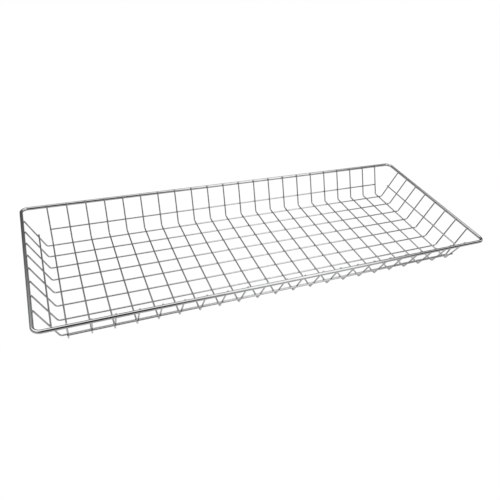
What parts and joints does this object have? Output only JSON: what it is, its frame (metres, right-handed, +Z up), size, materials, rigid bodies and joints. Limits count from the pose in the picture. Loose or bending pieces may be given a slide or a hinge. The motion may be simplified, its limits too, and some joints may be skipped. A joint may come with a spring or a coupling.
{
  "type": "wire basket",
  "caption": "Shallow rectangular bakery basket of welded steel wire, with sloping open-mesh walls hung inside a thick wire rim.",
  "frame": {"origin": "middle of the basket's footprint, on the plane that the long wires stand on", "axes": "+X along the basket's long side, +Y across it towards the back, +Z up through the open top"},
  "size_m": [0.6, 0.2374, 0.0476],
  "materials": {
    "rim_wire": "bright plated drawn wire",
    "mesh_wire": "bright plated drawn wire",
    "stay_wire": "bright plated drawn wire"
  },
  "bodies": {
    "root": {"rim": "rim_wire", "cross_wire_01": "mesh_wire", "cross_wire_02": "mesh_wire", "cross_wire_03": "mesh_wire", "cross_wire_04": "mesh_wire", "cross_wire_05": "mesh_wire", "cross_wire_06": "mesh_wire", "cross_wire_07": "mesh_wire", "cross_wire_08": "mesh_wire", "cross_wire_09": "mesh_wire", "cross_wire_10": "mesh_wire", "cross_wire_11": "mesh_wire", "cross_wire_12": "mesh_wire", "cross_wire_13": "mesh_wire", "cross_wire_14": "mesh_wire", "cross_wire_15": "mesh_wire", "cross_wire_16": "mesh_wire", "cross_wire_17": "mesh_wire", "cross_wire_18": "mesh_wire", "cross_wire_19": "mesh_wire", "cross_wire_20": "mesh_wire", "cross_wire_21": "mesh_wire", "cross_wire_22": "mesh_wire", "long_wire_1": "mesh_wire", "long_wire_2": "mesh_wire", "long_wire_3": "mesh_wire", "long_wire_4": "mesh_wire", "long_wire_5": "mesh_wire", "long_wire_6": "mesh_wire", "long_wire_7": "mesh_wire", "long_wire_8": "mesh_wire", "side_stay_back": "stay_wire", "side_stay_front": "stay_wire", "end_stay_left": "stay_wire", "end_stay_right": "stay_wire"}
  },
  "joints": []
}
